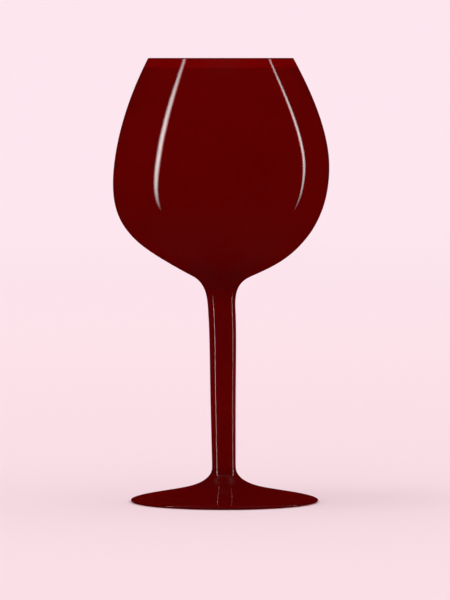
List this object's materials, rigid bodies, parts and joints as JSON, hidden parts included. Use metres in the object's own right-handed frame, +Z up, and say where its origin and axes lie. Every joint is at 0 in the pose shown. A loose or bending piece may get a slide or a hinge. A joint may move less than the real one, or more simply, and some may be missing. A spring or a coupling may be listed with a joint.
{
  "type": "glass of red wine",
  "caption": "Brim-full balloon wine glass: deep ruby glass with a tulip bowl on a tapered stem and a round foot, holding red wine.",
  "frame": {"origin": "on the surface the glass stands on, under the middle of its stem", "axes": "+Z up the stem, +X to the right and +Y away in the front view"},
  "size_m": [0.1051, 0.105, 0.216],
  "materials": {
    "ruby_glass": "clear deep ruby glass, fire polished",
    "red_wine": "still red wine, smooth liquid surface"
  },
  "bodies": {
    "root": {"glass": "ruby_glass", "wine": "red_wine"}
  },
  "joints": []
}
